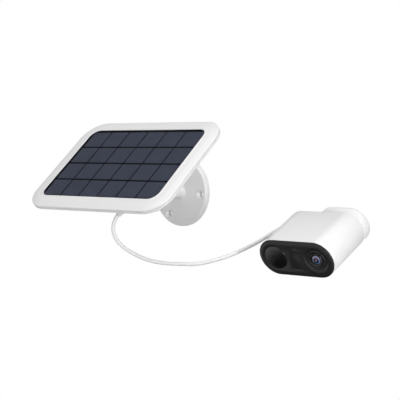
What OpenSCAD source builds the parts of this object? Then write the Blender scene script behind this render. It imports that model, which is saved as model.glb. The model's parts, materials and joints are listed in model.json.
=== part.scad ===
// Solar-powered security camera: a small solar panel on a wall bracket with a ball joint,
// and a battery camera that its lead charges.
// Millimetres. The origin is the middle of the bracket's wall face, which is the plane y = 0.
// +X runs along the wall to the viewer's right, +Y goes into the wall and +Z is up.

/* [Solar panel] */
// Length of the dark window over the solar cells
window_w = 168; // [150:1:180]
// Height of the dark window over the solar cells
window_h = 110.4; // [100:0.2:120]
// Corner radius of the window
window_r = 11; // [8:1:14]
// Width of the white border around the window
border = 15.4; // [14:0.2:20]
// Slope of the panel, measured from level
panel_tilt = 40; // [30:1:50]
// Cells along the panel
cell_columns = 6; // [4:1:8]
// Cells up the panel
cell_rows = 4; // [3:1:5]

/* [Wall bracket] */
// Radius of the round wall plate
plate_r = 39; // [36:1:45]
// Thickness of the wall plate
plate_t = 6.3; // [5:0.1:8]
// Distance from the wall to the centre of the ball
arm_reach = 71.5; // [68:0.5:80]
// Radius of the arm
arm_r = 6.8; // [6.2:0.1:7.2]
// Radius of the circle that the wall screws stand on
screw_circle_r = 30; // [27:1:32]
// Radius of the wall screws' holes
screw_hole_r = 2.3; // [2:0.1:2.5]

/* [Camera] */
// Width of the camera
cam_w = 86; // [84:1:92]
// Height of the camera
cam_h = 39; // [38:0.5:41]
// Depth of the camera's body, without its stand
cam_d = 60.3; // [60:0.1:64]
// How far the camera looks down, in degrees
cam_pitch = 26.45; // [20:0.05:30]

/* [Lead] */
// Diameter of the lead from the panel to the camera
lead_d = 4; // [4:0.1:4.2]

/* [Hidden] */
$fn = 64;

// Layers of the panel, as heights above the ball's centre along the panel's axis
glass_z = 44.5;                       // outer face of the glass
glass_t = 0.8;
cell_t = 0.4;
ribbon_t = 0.2;
board_t = 3;
cell_back_z = glass_z - glass_t - cell_t;
lip_z = glass_z + 0.7;                // top of the frame's inner lip
edge_top_z = glass_z - 1.6;           // top of the frame's outer edge
part_z = glass_z - 4.2;               // parting plane between the frame and the back
edge_low_z = glass_z - 6.7;           // bottom of the outer edge
back_z = glass_z - 13.6;              // outer face of the back
wall_t = 2;                           // plastic walls
gap = 0.3;                            // space left between parts that don't touch

spine_w = window_w - 2 * window_r;    // box that joins the corners' centres
spine_h = window_h - 2 * window_r;
edge_r = window_r + border;           // corner radius of the panel's outline
glass_r = window_r + 3;               // corner radius of the glass

// Cells
cell_margin = 2.2;                    // black edge around the cells
cell_gap_x = 1;
cell_gap_y = 1.7;
cell_w = (window_w - 2 * cell_margin - (cell_columns - 1) * cell_gap_x) / cell_columns;
cell_h = (window_h - 2 * cell_margin - (cell_rows - 1) * cell_gap_y) / cell_rows;

// Ball joint
ball_r = 10;
seat_r = 12;                          // outside of the nylon seat
cup_r = 15;                           // outside of the cup
ring_r = 18.6;                        // outside of the clamp ring
play = 0.05;                          // running clearance
neck_r = 3.2;                         // neck between the ball and the arm
mouth_deg = 78;                       // half angle of the cup's mouth
cup_top_z = 17;                       // top of the cup's round body
post_r = 7.5;                         // post between the cup and the panel
stud_r = 3.1;                         // thread that screws into the panel
shank_r = 3;                          // ball stud's shank in the arm
shank_end = 34;                       // how far from the wall the shank starts
arm_end = arm_reach - 21;             // where the arm's full width ends
screw_turn = 3.5;                     // first wall screw's angle above level

// Lead gland on the back of the panel
gland_x = 26;
gland_y = -48;                        // middle of the gland, along the panel's slope
gland_z = glass_z - 19;               // axis of the lead there
gland_len = 14;

// Camera: the origin of its own frame is the middle of the front edge's outline
cam_pos = [214.2, -83.3, -57.35];
cam_r = cam_h / 2;
cam_flat = cam_w - cam_h;
face_y = -0.6;                        // front face of the dark panel
face_back = 1.1;                      // inner face of the dark panel
face_z = 0.5;                         // height of the two lenses above the camera's axis
bevel = 2.7;                          // width of the dark panel's bevel
front_t = 1.2;                        // where the white housing begins
shell_t = 1.9;                        // housing's wall
inner_r = cam_r - shell_t;
motion_x = -23.3;
motion_r = 12.5;
motion_dish_r = 14.6;                 // shallow dish around the motion lens
lens_x = 23.8;
dish_r = 13.7;                        // dish around the lens
dish_back = 2.6;                      // back of the boss behind the dish
bezel_r = 10.3;                       // ring around the lens
glass_lens_r = 5.3;
cover_y = cam_d - 2.4;                // inner face of the rear cover
rear_y = cam_d;                       // outer face of the rear cover
mic_at = [0.2, 12.6];                 // microphone, light window and status bar: x and z
window_at = [-0.3, 5.5];
bar_at = [-0.2, -12];
port_x = -24;
port_z = -3;
button_z = 9;

// Fold-out stand on the right of the rear
stand_x0 = -13;
stand_x1 = 43.3;
stand_h = 37;
stand_front = 69;                     // front of the stand's plate at its top
stand_back = 73.2;                    // back of the stand's plate
scoop_z = 7;                          // where the slope for a finger starts
hinge_y = 64.4;
hinge_z = -14.6;
hinge_r = 3.6;                        // knuckle
pin_r = 1.5;
pin_x0 = -1.5;
pin_len = 32.5;
lug_x = [4.5, 21];                    // middles of the cover's two lugs
lug_w = 6;
lug_r = 2.8;
slot_r = lug_r + 0.4;

// Route of the lead, in the object's own frame, from the gland to the plug's boot
lead_route = [
    [26, -129.3, -15.2], [26, -133.8, -19], [26, -136.9, -21.6], [25.6, -139.8, -26.5],
    [25, -141, -33.5], [27, -139.5, -42.5], [31.5, -135, -51], [40, -128, -58.5],
    [50.5, -120, -64.6], [60, -111.5, -68], [70, -103, -69.5], [79.5, -94.5, -70],
    [89.5, -86, -70], [99, -77.5, -68], [109, -69, -64.5], [118.5, -60, -60],
    [127.5, -51, -54.3], [137, -42, -47.7], [145, -34.5, -41.1], [152, -27.5, -35.2],
    [158.5, -22.9, -31.1], [165, -22.07, -30.24], [168.5, -22.07, -30.24],
    [172, -22.07, -30.24],
];

// ---------- places ----------

module at_ball() translate([0, -arm_reach, 0]) children();

module at_panel() at_ball() rotate([panel_tilt, 0, 0]) children();

module at_camera() translate(cam_pos) rotate([cam_pitch, 0, 0]) children();

// Turns a shape drawn along +Z so that it points to the camera's rear
module rearward() rotate([-90, 0, 0]) children();

// ---------- shapes ----------

module round_rect(w, h, r) {
    square([w, h - 2 * r], center = true);
    square([w - 2 * r, h], center = true);
    for (x = [-1, 1], y = [-1, 1])
        translate([x * (w / 2 - r), y * (h / 2 - r)]) circle(r);
}

module stadium(w, h) {
    square([w - h, h], center = true);
    for (x = [-1, 1]) translate([x * (w - h) / 2, 0]) circle(h / 2);
}

// A wall of constant profile around a box with round corners. The profile's x is the
// distance out from the corners' centres, and its y is the height.
module around_box(w, h) {
    for (x = [0, 1], y = [0, 1])
        translate([(x - 0.5) * w, (y - 0.5) * h, 0])
            rotate([0, 0, x == 1 ? (y == 1 ? 0 : -90) : (y == 1 ? 90 : 180)])
                rotate_extrude(angle = 90) children();
    for (m = [0, 1]) {
        mirror([0, m, 0]) translate([-w / 2, h / 2, 0])
            rotate([90, 0, 90]) linear_extrude(w) children();
        mirror([m, 0, 0]) translate([w / 2, h / 2, 0])
            rotate([90, 0, 0]) linear_extrude(h) children();
    }
}

// The same around a straight spine, for a body with two round ends
module around_spine(flat) {
    for (s = [-1, 1])
        translate([s * flat / 2, 0, 0]) rotate([0, 0, -s * 90])
            rotate_extrude(angle = 180) children();
    for (m = [0, 1])
        mirror([0, m, 0]) translate([-flat / 2, 0, 0])
            rotate([90, 0, 90]) linear_extrude(flat) children();
}

// A round tube or disc between two heights
module tube(r_out, r_in, z0, z1) {
    difference() {
        translate([0, 0, z0]) cylinder(r = r_out, h = z1 - z0);
        translate([0, 0, z0 - 1]) cylinder(r = r_in, h = z1 - z0 + 2);
    }
}

module screw(head_r, head_h, shank_radius, length) {
    cylinder(r = head_r, h = head_h);
    translate([0, 0, head_h]) cylinder(r = shank_radius, h = length);
}

// ---------- wall bracket ----------

module wall_base() color("whitesmoke") {
    edge = 2;  // slope of the plate's rim
    fillet = 1.6;
    difference() {
        rotate([90, 0, 0]) rotate_extrude() polygon([
            [0, 0], [plate_r, 0], [plate_r, plate_t - 3.5], [plate_r - 0.6, plate_t - 1.4],
            [plate_r - edge, plate_t], [arm_r + fillet, plate_t],
            [arm_r + fillet * 0.3, plate_t + fillet * 0.3], [arm_r, plate_t + fillet],
            [arm_r, arm_end], [neck_r + 1, arm_end + 4], [0, arm_end + 4],
        ]);
        translate([0, -shank_end, 0]) rotate([90, 0, 0])
            cylinder(r = shank_r + play, h = arm_reach);
        for (i = [0 : 2]) rotate([0, -screw_turn - 120 * i, 0])
            translate([screw_circle_r, 1, 0]) rotate([90, 0, 0]) {
                cylinder(r = screw_hole_r, h = plate_t + 2);
                translate([0, 0, plate_t + 1 - 2.4]) cylinder(r1 = screw_hole_r, r2 = 4.3, h = 2);
                translate([0, 0, plate_t + 1 - 0.4]) cylinder(r = 4.3, h = 2);
            }
        // hollow in the wall side, under the thick arm
        translate([0, 1, 0]) rotate([90, 0, 0]) cylinder(r = 4, h = 4);
    }
}

module ball_stud() color("silver") at_ball() {
    sphere(r = ball_r, $fn = 96);
    rotate([-90, 0, 0]) {
        cylinder(r = neck_r, h = arm_reach - arm_end - 4 - gap);
        cylinder(r = shank_r, h = arm_reach - shank_end - gap);
    }
}

// Shell between two spheres with a cone-shaped mouth towards -Z
module ball_shell(r_out, r_in) {
    rim = r_out + 5;
    difference() {
        sphere(r = r_out, $fn = 96);
        sphere(r = r_in, $fn = 96);
        rotate_extrude() polygon([
            [0, 0], [rim * sin(mouth_deg), -rim * cos(mouth_deg)],
            [rim * sin(mouth_deg), -2 * rim], [0, -2 * rim],
        ]);
    }
}

module ball_seat() color("dimgray") at_panel()
    ball_shell(seat_r - play, ball_r + play);

module socket_cup() color("whitesmoke") at_panel() {
    difference() {
        union() {
            translate([0, 0, -4]) cylinder(r = cup_r, h = cup_top_z + 4);
            translate([0, 0, cup_top_z]) cylinder(r1 = cup_r, r2 = post_r, h = 4);
            cylinder(r = post_r, h = back_z - gap);
            cylinder(r = stud_r, h = back_z + 7);
        }
        sphere(r = seat_r, $fn = 96);
        rotate_extrude() polygon([
            [0, 0], [30 * sin(mouth_deg), -30 * cos(mouth_deg)], [30, -30], [0, -30],
        ]);
    }
}

module clamp_ring() color("white") at_panel() {
    grips = 24;
    ring_h = 11;
    difference() {
        rotate_extrude() polygon([
            [cup_r + play, 1], [ring_r - 0.8, 1], [ring_r, 1.8], [ring_r, ring_h - 0.8],
            [ring_r - 0.8, ring_h], [cup_r + play, ring_h],
        ]);
        for (i = [0 : grips - 1]) rotate([0, 0, i * 360 / grips])
            translate([ring_r + 0.5, 0, -1]) cylinder(r = 1.1, h = ring_h + 4, $fn = 24);
    }
}

// ---------- solar panel ----------

module panel_frame() color("white") at_panel() around_box(spine_w, spine_h) polygon([
    [window_r, glass_z], [window_r, lip_z - 0.2], [window_r + 0.3, lip_z], [window_r + 1.4, lip_z],
    [window_r + 2.2, lip_z - 0.45], [edge_r - 1, edge_top_z + 0.2],
    [edge_r - 0.3, edge_top_z - 0.1], [edge_r, edge_top_z - 0.6], [edge_r, part_z + 0.25],
    [edge_r - 0.5, part_z + 0.25], [edge_r - 0.5, part_z], [edge_r - 3, part_z],
    [edge_r - 3, edge_top_z - 1.6], [glass_r + gap, glass_z - glass_t - 0.6],
    [glass_r + gap, glass_z],
]);

module panel_glass() color([0.1, 0.12, 0.18, 0.35]) at_panel()
    translate([0, 0, glass_z - glass_t])
        linear_extrude(glass_t) round_rect(spine_w + 2 * glass_r, spine_h + 2 * glass_r, glass_r);

module at_cells()
    for (i = [0 : cell_columns - 1], j = [0 : cell_rows - 1])
        translate([(i - (cell_columns - 1) / 2) * (cell_w + cell_gap_x),
                   (j - (cell_rows - 1) / 2) * (cell_h + cell_gap_y), 0]) children();

module solar_cells() color("midnightblue") at_panel()
    translate([0, 0, cell_back_z]) at_cells()
        linear_extrude(cell_t) square([cell_w, cell_h], center = true);

// A contact strip under each cell, soldered to the board
module cell_ribbons() color("silver") at_panel() translate([0, 0, cell_back_z - ribbon_t])
    at_cells() linear_extrude(ribbon_t) square([cell_w - 2, 2], center = true);

module cell_board() color("black") at_panel()
    translate([0, 0, cell_back_z - ribbon_t - board_t]) linear_extrude(board_t)
        round_rect(spine_w + 2 * glass_r, spine_h + 2 * glass_r, glass_r);

module panel_gasket() color("dimgray") at_panel() {
    top = cell_back_z - ribbon_t - board_t;
    around_box(spine_w, spine_h) translate([glass_r - 3, top - 1.5]) square([3, 1.5]);
}

module at_panel_screws()
    for (p = [[-1, -1], [0, -1], [1, -1], [-1, 1], [0, 1], [1, 1]])
        translate([p[0] * (spine_w / 2 - 2), p[1] * (spine_h / 2 + 4), 0]) children();

module panel_back() color("gainsboro") at_panel() {
    slope = 9.7;      // how far the sloping side runs in
    top = part_z - 0.25;
    inner_floor = back_z + wall_t;
    difference() {
        union() {
            around_box(spine_w, spine_h) polygon([
                [edge_r - 5.2, top], [edge_r - 0.6, top], [edge_r - 0.2, top - 0.4],
                [edge_r - 0.2, edge_low_z + 0.4], [edge_r - 0.8, edge_low_z - 0.2],
                [edge_r - slope, back_z + 0.6], [edge_r - slope - 1.5, back_z], [2, back_z],
                [2, inner_floor], [edge_r - slope - 1.5, inner_floor],
                [edge_r - 5.2, edge_low_z + 0.6],
            ]);
            translate([0, 0, back_z]) linear_extrude(wall_t)
                square([spine_w + 5, spine_h + 5], center = true);
            // boss for the threaded insert and posts for the screws
            translate([0, 0, back_z + 0.5]) cylinder(r = 8, h = 8);
            at_panel_screws() translate([0, 0, back_z + 0.5]) cylinder(r = 3.4, h = 6.5);
        }
        translate([0, 0, back_z - 1]) cylinder(r = 5 + play, h = 9);
        translate([0, 0, back_z]) cylinder(r = stud_r + 0.2, h = 20);
        at_panel_screws() translate([0, 0, back_z - 1]) {
            cylinder(r = 2.2 + play, h = 2.4);
            cylinder(r = 1.2 + play, h = 20);
        }
        // outlet for the lead's wires
        translate([gland_x, gland_y + 4, back_z - 1]) cylinder(r = 1.6, h = 6);
    }
}

module panel_insert() color("gold") at_panel()
    tube(5, stud_r + play, back_z + 0.2, back_z + 7.6);

module panel_screws() color("silver") at_panel() at_panel_screws() difference() {
    translate([0, 0, back_z + 0.1]) screw(2.1, 1.2, 1.15, 6);
    translate([0, 0, back_z - 1]) cylinder(r = 0.9, h = 1.8, $fn = 6);
}

charge_x = 44;
charge_y = -22;
charge_board_z = glass_z - 9;

module charge_board() color("darkgreen") at_panel()
    translate([charge_x, charge_y, charge_board_z]) linear_extrude(1.2)
        round_rect(38, 26, 2);

module charge_parts() color("black") at_panel()
    translate([charge_x, charge_y, charge_board_z + 1.2]) {
        translate([-8, 2, 0]) linear_extrude(1.4) square([8, 8], center = true);
        translate([6, -4, 0]) linear_extrude(1.8) square([6, 6], center = true);
        translate([6, 7, 0]) linear_extrude(1) square([4, 2.4], center = true);
        translate([14, 4, 0]) cylinder(r = 1.4, h = 1.6);
    }

// The gland is a moulded boot on the back that lets the lead out towards the lower edge
module lead_gland() color("white") at_panel()
    translate([gland_x, gland_y, 0]) difference() {
        union() {
            translate([0, 2, back_z - 4.2]) linear_extrude(4.1) round_rect(13, 15, 3);
            translate([0, -4, gland_z]) rotate([90, 0, 0])
                cylinder(r1 = 4.2, r2 = 2.9, h = gland_len - 6);
            translate([0, 5, gland_z]) rotate([90, 0, 0]) cylinder(r = 4.2, h = 9);
        }
        translate([0, -5, gland_z]) rotate([90, 0, 0]) cylinder(r = lead_d / 2 + 0.15, h = 20);
    }

// ---------- lead ----------

function unit(v) = v / norm(v);
function spline(p, t) =
    let (n = len(p) - 1, i = min(floor(t), n - 1), u = t - i,
         a = p[max(i - 1, 0)], b = p[i], c = p[i + 1], d = p[min(i + 2, n)])
    0.5 * (2 * b + (c - a) * u + (2 * a - 5 * b + 4 * c - d) * u * u
           + (3 * b - a - 3 * c + d) * u * u * u);
function across(v, w) = unit(w - (w * v) * v);

// A tube of one diameter through a list of points. Each ring's side direction is the
// last ring's, laid square to the new direction.
module swept(p, d, sides) {
    n = len(p) - 1;
    dirs = [for (i = [0 : n]) unit(p[min(i + 1, n)] - p[max(i - 1, 0)])];
    side = [for (i = 0, s = across(dirs[0], [1, 0, 0]); i <= n;
                 i = i + 1, s = i <= n ? across(dirs[i], s) : s) s];
    points = [for (i = [0 : n], k = [0 : sides - 1])
        p[i] + d / 2 * (cos(360 * k / sides) * side[i]
                        + sin(360 * k / sides) * cross(dirs[i], side[i]))];
    faces = concat(
        [[for (k = [0 : sides - 1]) k]],
        [for (i = [0 : n - 1], k = [0 : sides - 1])
            let (a = i * sides + k, b = i * sides + (k + 1) % sides)
            [a, a + sides, b + sides, b]],
        [[for (k = [sides - 1 : -1 : 0]) n * sides + k]]);
    polyhedron(points, faces, convexity = 6);
}

module solar_lead() color("white") {
    per_span = 2;
    spans = len(lead_route) - 1;
    swept([for (i = [0 : spans * per_span]) spline(lead_route, i / per_span)], lead_d, 10);
}

// The plug lies along the camera's axis and its boot turns the lead to the left
plug_y = rear_y + 0.6;
boot_y = rear_y + 6.6;

module lead_plug() color("silver") at_camera()
    translate([port_x, cam_d - 5.8, port_z]) rearward() linear_extrude(plug_y + 1 - cam_d + 5.8)
        stadium(8.2, 2.4);

module plug_boot() color("whitesmoke") at_camera() {
    relief = 14;
    difference() {
        union() {
            translate([port_x, plug_y, port_z]) rearward()
                around_spine(5) polygon([[0, 0], [3.2, 0], [3.6, 0.5], [3.6, 9.4], [2.8, 10.2], [0, 10.2]]);
            translate([port_x, boot_y, port_z]) rotate([0, -90, 0]) {
                cylinder(r = 3.4, h = 9);
                translate([0, 0, 9]) cylinder(r1 = 3.4, r2 = 2.5, h = relief);
            }
        }
        translate([port_x - 9 - relief + 5, boot_y, port_z]) rotate([0, -90, 0])
            cylinder(r = lead_d / 2 + 0.15, h = 10);
        translate([port_x, plug_y - 1, port_z]) rearward()
            linear_extrude(2) stadium(8.2 + 2 * play, 2.4 + 2 * play);
    }
}

// ---------- camera front ----------

module front_panel() color([0.16, 0.16, 0.17]) at_camera() difference() {
    union() {
        rearward() around_spine(cam_flat) polygon([
            [0, face_y], [cam_r - bevel - 0.5, face_y], [cam_r - bevel, face_y + 0.1],
            [cam_r - 0.9, face_y + 0.6], [cam_r - 0.2, face_y + 1.1], [cam_r, face_y + 1.5],
            [cam_r, front_t], [inner_r - 0.15, front_t], [inner_r - 0.15, 5],
            [inner_r - 1.5, 5], [inner_r - 1.5, face_back], [0, face_back],
        ]);
        // boss behind the dish
        translate([lens_x, 0, face_z]) rearward() translate([0, 0, face_y + 0.5])
            cylinder(r = dish_r + 1.2, h = dish_back - face_y - 0.5);
    }
    // shallow dish and seat for the motion lens
    translate([motion_x, 0, face_z]) rearward() {
        translate([0, 0, face_y - 1]) cylinder(r = motion_r + 0.15, h = 10);
        rotate_extrude() polygon([
            [0, face_y - 1], [motion_dish_r, face_y - 1], [motion_dish_r, face_y],
            [motion_r + 1.2, face_y + 0.5], [motion_r + 0.1, face_y + 0.6], [0, face_y + 0.6],
        ]);
    }
    // dish and seat for the camera lens
    translate([lens_x, 0, face_z]) rearward() {
        translate([0, 0, face_y - 1]) cylinder(r = bezel_r + 0.15, h = 10);
        rotate_extrude() polygon([
            [0, face_y - 1], [dish_r, face_y - 1], [dish_r, face_y], [dish_r - 0.7, face_y + 0.5],
            [dish_r - 1.7, face_y + 1.1], [bezel_r + 0.6, face_y + 1.6], [0, face_y + 1.6],
        ]);
    }
    // microphone, light sensor and status bar
    translate([mic_at[0], -5, mic_at[1]]) rearward() cylinder(r = 0.9, h = 12);
    translate([window_at[0], -5, window_at[1]]) rearward() cylinder(r = 1.45, h = 12);
    translate([bar_at[0], -5, bar_at[1]]) rearward() linear_extrude(12) stadium(10.2, 1.3);
}

module front_seal() color("gray") at_camera() rearward() around_spine(cam_flat)
    translate([inner_r - 1.35, 5.1]) square([1.2, 1.4]);

module motion_lens() color([0.05, 0.05, 0.05]) at_camera()
    translate([motion_x, 0, face_z]) rearward() rotate_extrude() polygon([
        [0, face_y - 0.8], [4, face_y - 0.7], [8, face_y - 0.4], [motion_r - 0.5, face_y + 0.02],
        [motion_r, face_y + 0.3], [motion_r, 1.2], [motion_r + 1.4, 1.2], [motion_r + 1.4, 2.2],
        [motion_r - 1.2, 2.2], [motion_r - 1.4, 1.6], [0, 1],
    ]);

module motion_sensor() color("silver") at_camera() translate([motion_x, 0, face_z]) rearward() {
    can_y = 5.2;
    difference() {
        translate([0, 0, can_y]) union() {
            cylinder(r = 4.6, h = 3.8);
            translate([0, 0, 3.4]) cylinder(r = 5, h = 0.6);
        }
        translate([0, 0, can_y - 1]) linear_extrude(1.4) square([4, 3], center = true);
    }
    for (a = [30, 150, 270]) rotate([0, 0, a]) translate([2.5, 0, can_y + 3.9]) cylinder(r = 0.3, h = 1);
}

module lens_ring() color([0.09, 0.09, 0.1]) at_camera() translate([lens_x, 0, face_z]) rearward()
    rotate_extrude() polygon([
        [bezel_r, face_y + 1.1], [bezel_r, dish_back + 0.05], [bezel_r + 1.2, dish_back + 0.05],
        [bezel_r + 1.2, dish_back + 0.8], [7.3, dish_back + 0.8], [7.3, face_y + 1.5],
        [7.9, face_y + 0.95], [8.6, face_y + 0.65], [bezel_r - 0.5, face_y + 0.65],
    ]);

module lens_barrel() color([0.06, 0.06, 0.06]) at_camera()
    translate([lens_x, 0, face_z]) rearward() rotate_extrude() polygon([
        [glass_lens_r + play, face_y + 0.4], [6.4, face_y + 0.2], [7.1, face_y + 0.7], [7.1, 6],
        [6, 6], [6, 8.6], [3.4, 8.6], [3.4, 2.4], [glass_lens_r + play, 2.4],
    ]);

module front_lens() color([0.2, 0.15, 0.4, 0.6]) at_camera()
    translate([lens_x, 0, face_z]) rearward() rotate_extrude() polygon([
        [0, face_y + 0.1], [2, face_y + 0.2], [3.6, face_y + 0.55], [4.7, face_y + 1],
        [glass_lens_r, face_y + 1.4], [glass_lens_r, 2.3], [3, 2.3], [2.4, 1.6], [0, 1.1],
    ]);

module image_sensor() color("darkslategray") at_camera() translate([lens_x, 0, face_z]) rearward()
    translate([0, 0, 9]) linear_extrude(1.2) square([9, 8], center = true);

module light_window() color([0.05, 0.05, 0.06]) at_camera()
    translate([window_at[0], 0, window_at[1]]) rearward()
        translate([0, 0, face_y + 0.15]) cylinder(r = 1.4, h = 2.9);

module microphone() color([0.05, 0.05, 0.05]) at_camera()
    translate([mic_at[0], 0, mic_at[1]]) rearward() {
        translate([0, 0, face_y + 0.5]) cylinder(r = 0.85, h = 2.3);
        translate([0, 0, face_back + 0.1]) cylinder(r = 2.4, h = 1.4);
    }

module status_bar() color([0.3, 0.3, 0.32]) at_camera()
    translate([bar_at[0], 0, bar_at[1]]) rearward() {
        translate([0, 0, face_y + 0.1]) linear_extrude(2.6) stadium(10.1, 1.2);
        translate([0, 0, face_back + 0.1]) linear_extrude(1.6) stadium(12, 2.6);
    }

// ---------- camera body ----------

door_y0 = 20;
door_y1 = 38;
door_w = 20;
reset_x = 18;
reset_y = 29;

module camera_housing() color("whitesmoke") at_camera() difference() {
    post_y = 54.4;
    union() {
        rearward() around_spine(cam_flat) polygon([
            [inner_r, front_t + 0.15], [cam_r - 0.4, front_t + 0.15], [cam_r, front_t + 0.5],
            [cam_r, cam_d - 0.6], [cam_r - 0.2, cam_d - 0.15], [cam_r - 0.6, cam_d],
            [inner_r, cam_d],
        ]);
        // posts that the rear screws bite into
        at_rear_screws() translate([0, 0, post_y]) cylinder(r = 3, h = cover_y - 0.1 - post_y);
    }
    at_rear_screws() translate([0, 0, post_y - 1]) cylinder(r = 1.1 + play, h = 6);
    // opening under the camera for the memory card
    translate([-door_w / 2, door_y0, -cam_r - 1]) cube([door_w, door_y1 - door_y0, 4]);
    translate([reset_x, reset_y, -cam_r - 1]) cylinder(r = 1.6, h = 4);
}

module rear_cover() color("gainsboro") at_camera() difference() {
    union() {
        translate([0, cover_y, 0]) rearward() linear_extrude(rear_y - cover_y)
            stadium(cam_flat + 2 * inner_r - 0.2, 2 * inner_r - 0.2);
        for (x = lug_x) translate([x - lug_w / 2, 0, 0]) {
            translate([0, hinge_y, hinge_z]) rotate([0, 90, 0]) cylinder(r = lug_r, h = lug_w);
            translate([0, rear_y - 1, hinge_z - lug_r])
                cube([lug_w, hinge_y - rear_y + 1, 2 * lug_r]);
        }
    }
    translate([-60, hinge_y, hinge_z]) rotate([0, 90, 0]) cylinder(r = pin_r + play, h = 120);
    translate([port_x, cover_y - 5, port_z]) rearward() linear_extrude(20) stadium(9.8, 3.8);
    translate([port_x, cover_y - 1, button_z]) rearward() cylinder(r = 3.3, h = 20);
    at_rear_screws() translate([0, 0, cover_y - 1]) cylinder(r = 1.2, h = 20);
    at_rear_screws() translate([0, 0, rear_y - 1.2]) cylinder(r = 2.2, h = 20);
}

// Heights here run towards the rear
module at_rear_screws() rearward()
    for (p = [[-38.2, 0], [38.2, 0], [-15, -14.7], [-15, 14.7]])
        translate([p[0], -p[1], 0]) children();

module rear_screws() color("silver") at_camera() at_rear_screws() difference() {
    translate([0, 0, rear_y - 1.1]) rotate([180, 0, 0]) translate([0, 0, -1])
        screw(2, 1, 1.1, 4.4);
    translate([0, 0, rear_y - 0.8]) cylinder(r = 0.9, h = 4, $fn = 6);
}

board_y = 11.5;

module main_board() color("darkgreen") at_camera() translate([0, board_y, 0]) rearward()
    difference() {
        linear_extrude(1.4) stadium(76, 30);
        for (x = [-33, 33]) translate([x, 0, -1]) cylinder(r = 1.3, h = 4);
    }

module board_parts() color("black") at_camera() translate([0, board_y, 0]) {
    // front side
    translate([-5, -1.6, -6]) cube([12, 1.6, 11]);
    translate([-6, -1.3, 7]) cube([6, 1.3, 5]);
    translate([motion_x - 6, -1.2, -6]) cube([12, 1.2, 12]);
    // back side
    translate([-16, 1.4, -9]) cube([20, 1.8, 16]);
    translate([10, 1.4, -4]) cube([8, 1.2, 8]);
    translate([22, 1.4, -8]) cube([6, 2.4, 6]);
}

module antenna() color("gold") at_camera()
    translate([-14, 14, inner_r - 0.6]) cube([28, 8, 0.3]);

module speaker() color("dimgray") at_camera() translate([0, 5.4, -1]) rearward() difference() {
    cylinder(r = 8, h = 4);
    translate([0, 0, -1]) cylinder(r = 6, h = 2);
}

cell_r = 9.1;
cell_len = 65;
cell_ys = [26, 44.5];

module battery_cells() color("steelblue") at_camera()
    for (y = cell_ys) translate([-cell_len / 2, y, 0]) rotate([0, 90, 0]) {
        cylinder(r = cell_r, h = cell_len);
        translate([0, 0, cell_len]) cylinder(r = 3, h = 1);
    }

module battery_tray() color("black") at_camera() difference() {
    translate([-cell_len / 2 - 2.6, cell_ys[0] - cell_r - 0.5, -12])
        cube([cell_len + 5.2, cell_ys[1] - cell_ys[0] + 2 * cell_r + 1, 10]);
    for (y = cell_ys) translate([-cell_len / 2 - 1.2, y, 0]) rotate([0, 90, 0])
        cylinder(r = cell_r + 0.1, h = cell_len + 2.4);
    translate([-cell_len / 2 - 1.2, cell_ys[0] - 0.1, -3])
        cube([cell_len + 2.4, cell_ys[1] - cell_ys[0] + 0.2, 5]);
}

module usb_socket() color("silver") at_camera() translate([port_x, cam_d - 6, port_z]) rearward()
    difference() {
        linear_extrude(5.6) stadium(9.4, 3.4);
        translate([0, 0, 0.1]) linear_extrude(8) stadium(8.4, 2.6);
    }

module power_button() color("gray") at_camera() translate([port_x, 0, button_z]) rearward() {
    translate([0, 0, rear_y - 2]) cylinder(r = 3.2, h = 2.9);
    translate([0, 0, cover_y - 1.4]) cylinder(r = 4.2, h = 1);
    translate([0, 0, cover_y - 1]) cylinder(r = 3, h = 2);
}

module reset_button() color("gray") at_camera()
    translate([reset_x, reset_y, -cam_r + 0.1]) {
        cylinder(r = 1.5, h = 2);
        translate([0, 0, 2.1]) cylinder(r = 2.4, h = 0.8);
        translate([0, 0, 1.9]) cylinder(r = 1.4, h = 0.4);
    }

door_hinge_y = door_y1 - 0.9;

module card_door() color("whitesmoke") at_camera() difference() {
    union() {
        translate([-door_w / 2 + 0.15, door_y0 + 0.15, -cam_r + 0.05])
            cube([door_w - 0.3, door_hinge_y - door_y0 - 0.15, 1.3]);
        translate([-door_w / 2 + 0.15, door_hinge_y, -cam_r + 0.8]) rotate([0, 90, 0])
            cylinder(r = 0.75, h = door_w - 0.3);
    }
    // finger notch at the front edge
    translate([0, door_y0 - 0.5, -cam_r - 1]) cylinder(r = 2.5, h = 1.7);
}

module card_socket() color("silver") at_camera() translate([-8, door_y0 + 1.5, -cam_r + 2.4])
    difference() {
        cube([16, 14, 2.2]);
        translate([2, -1, 0.5]) cube([12, 14, 1.2]);
    }

module memory_card() color("black") at_camera()
    translate([-5.5, door_y0 + 0.8, -cam_r + 3]) cube([11, 13, 0.9]);

// ---------- stand ----------

stand_mid_x = (stand_x0 + stand_x1) / 2;
stand_w = stand_x1 - stand_x0;
insert_x = 9;
insert_z = -6;

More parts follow.
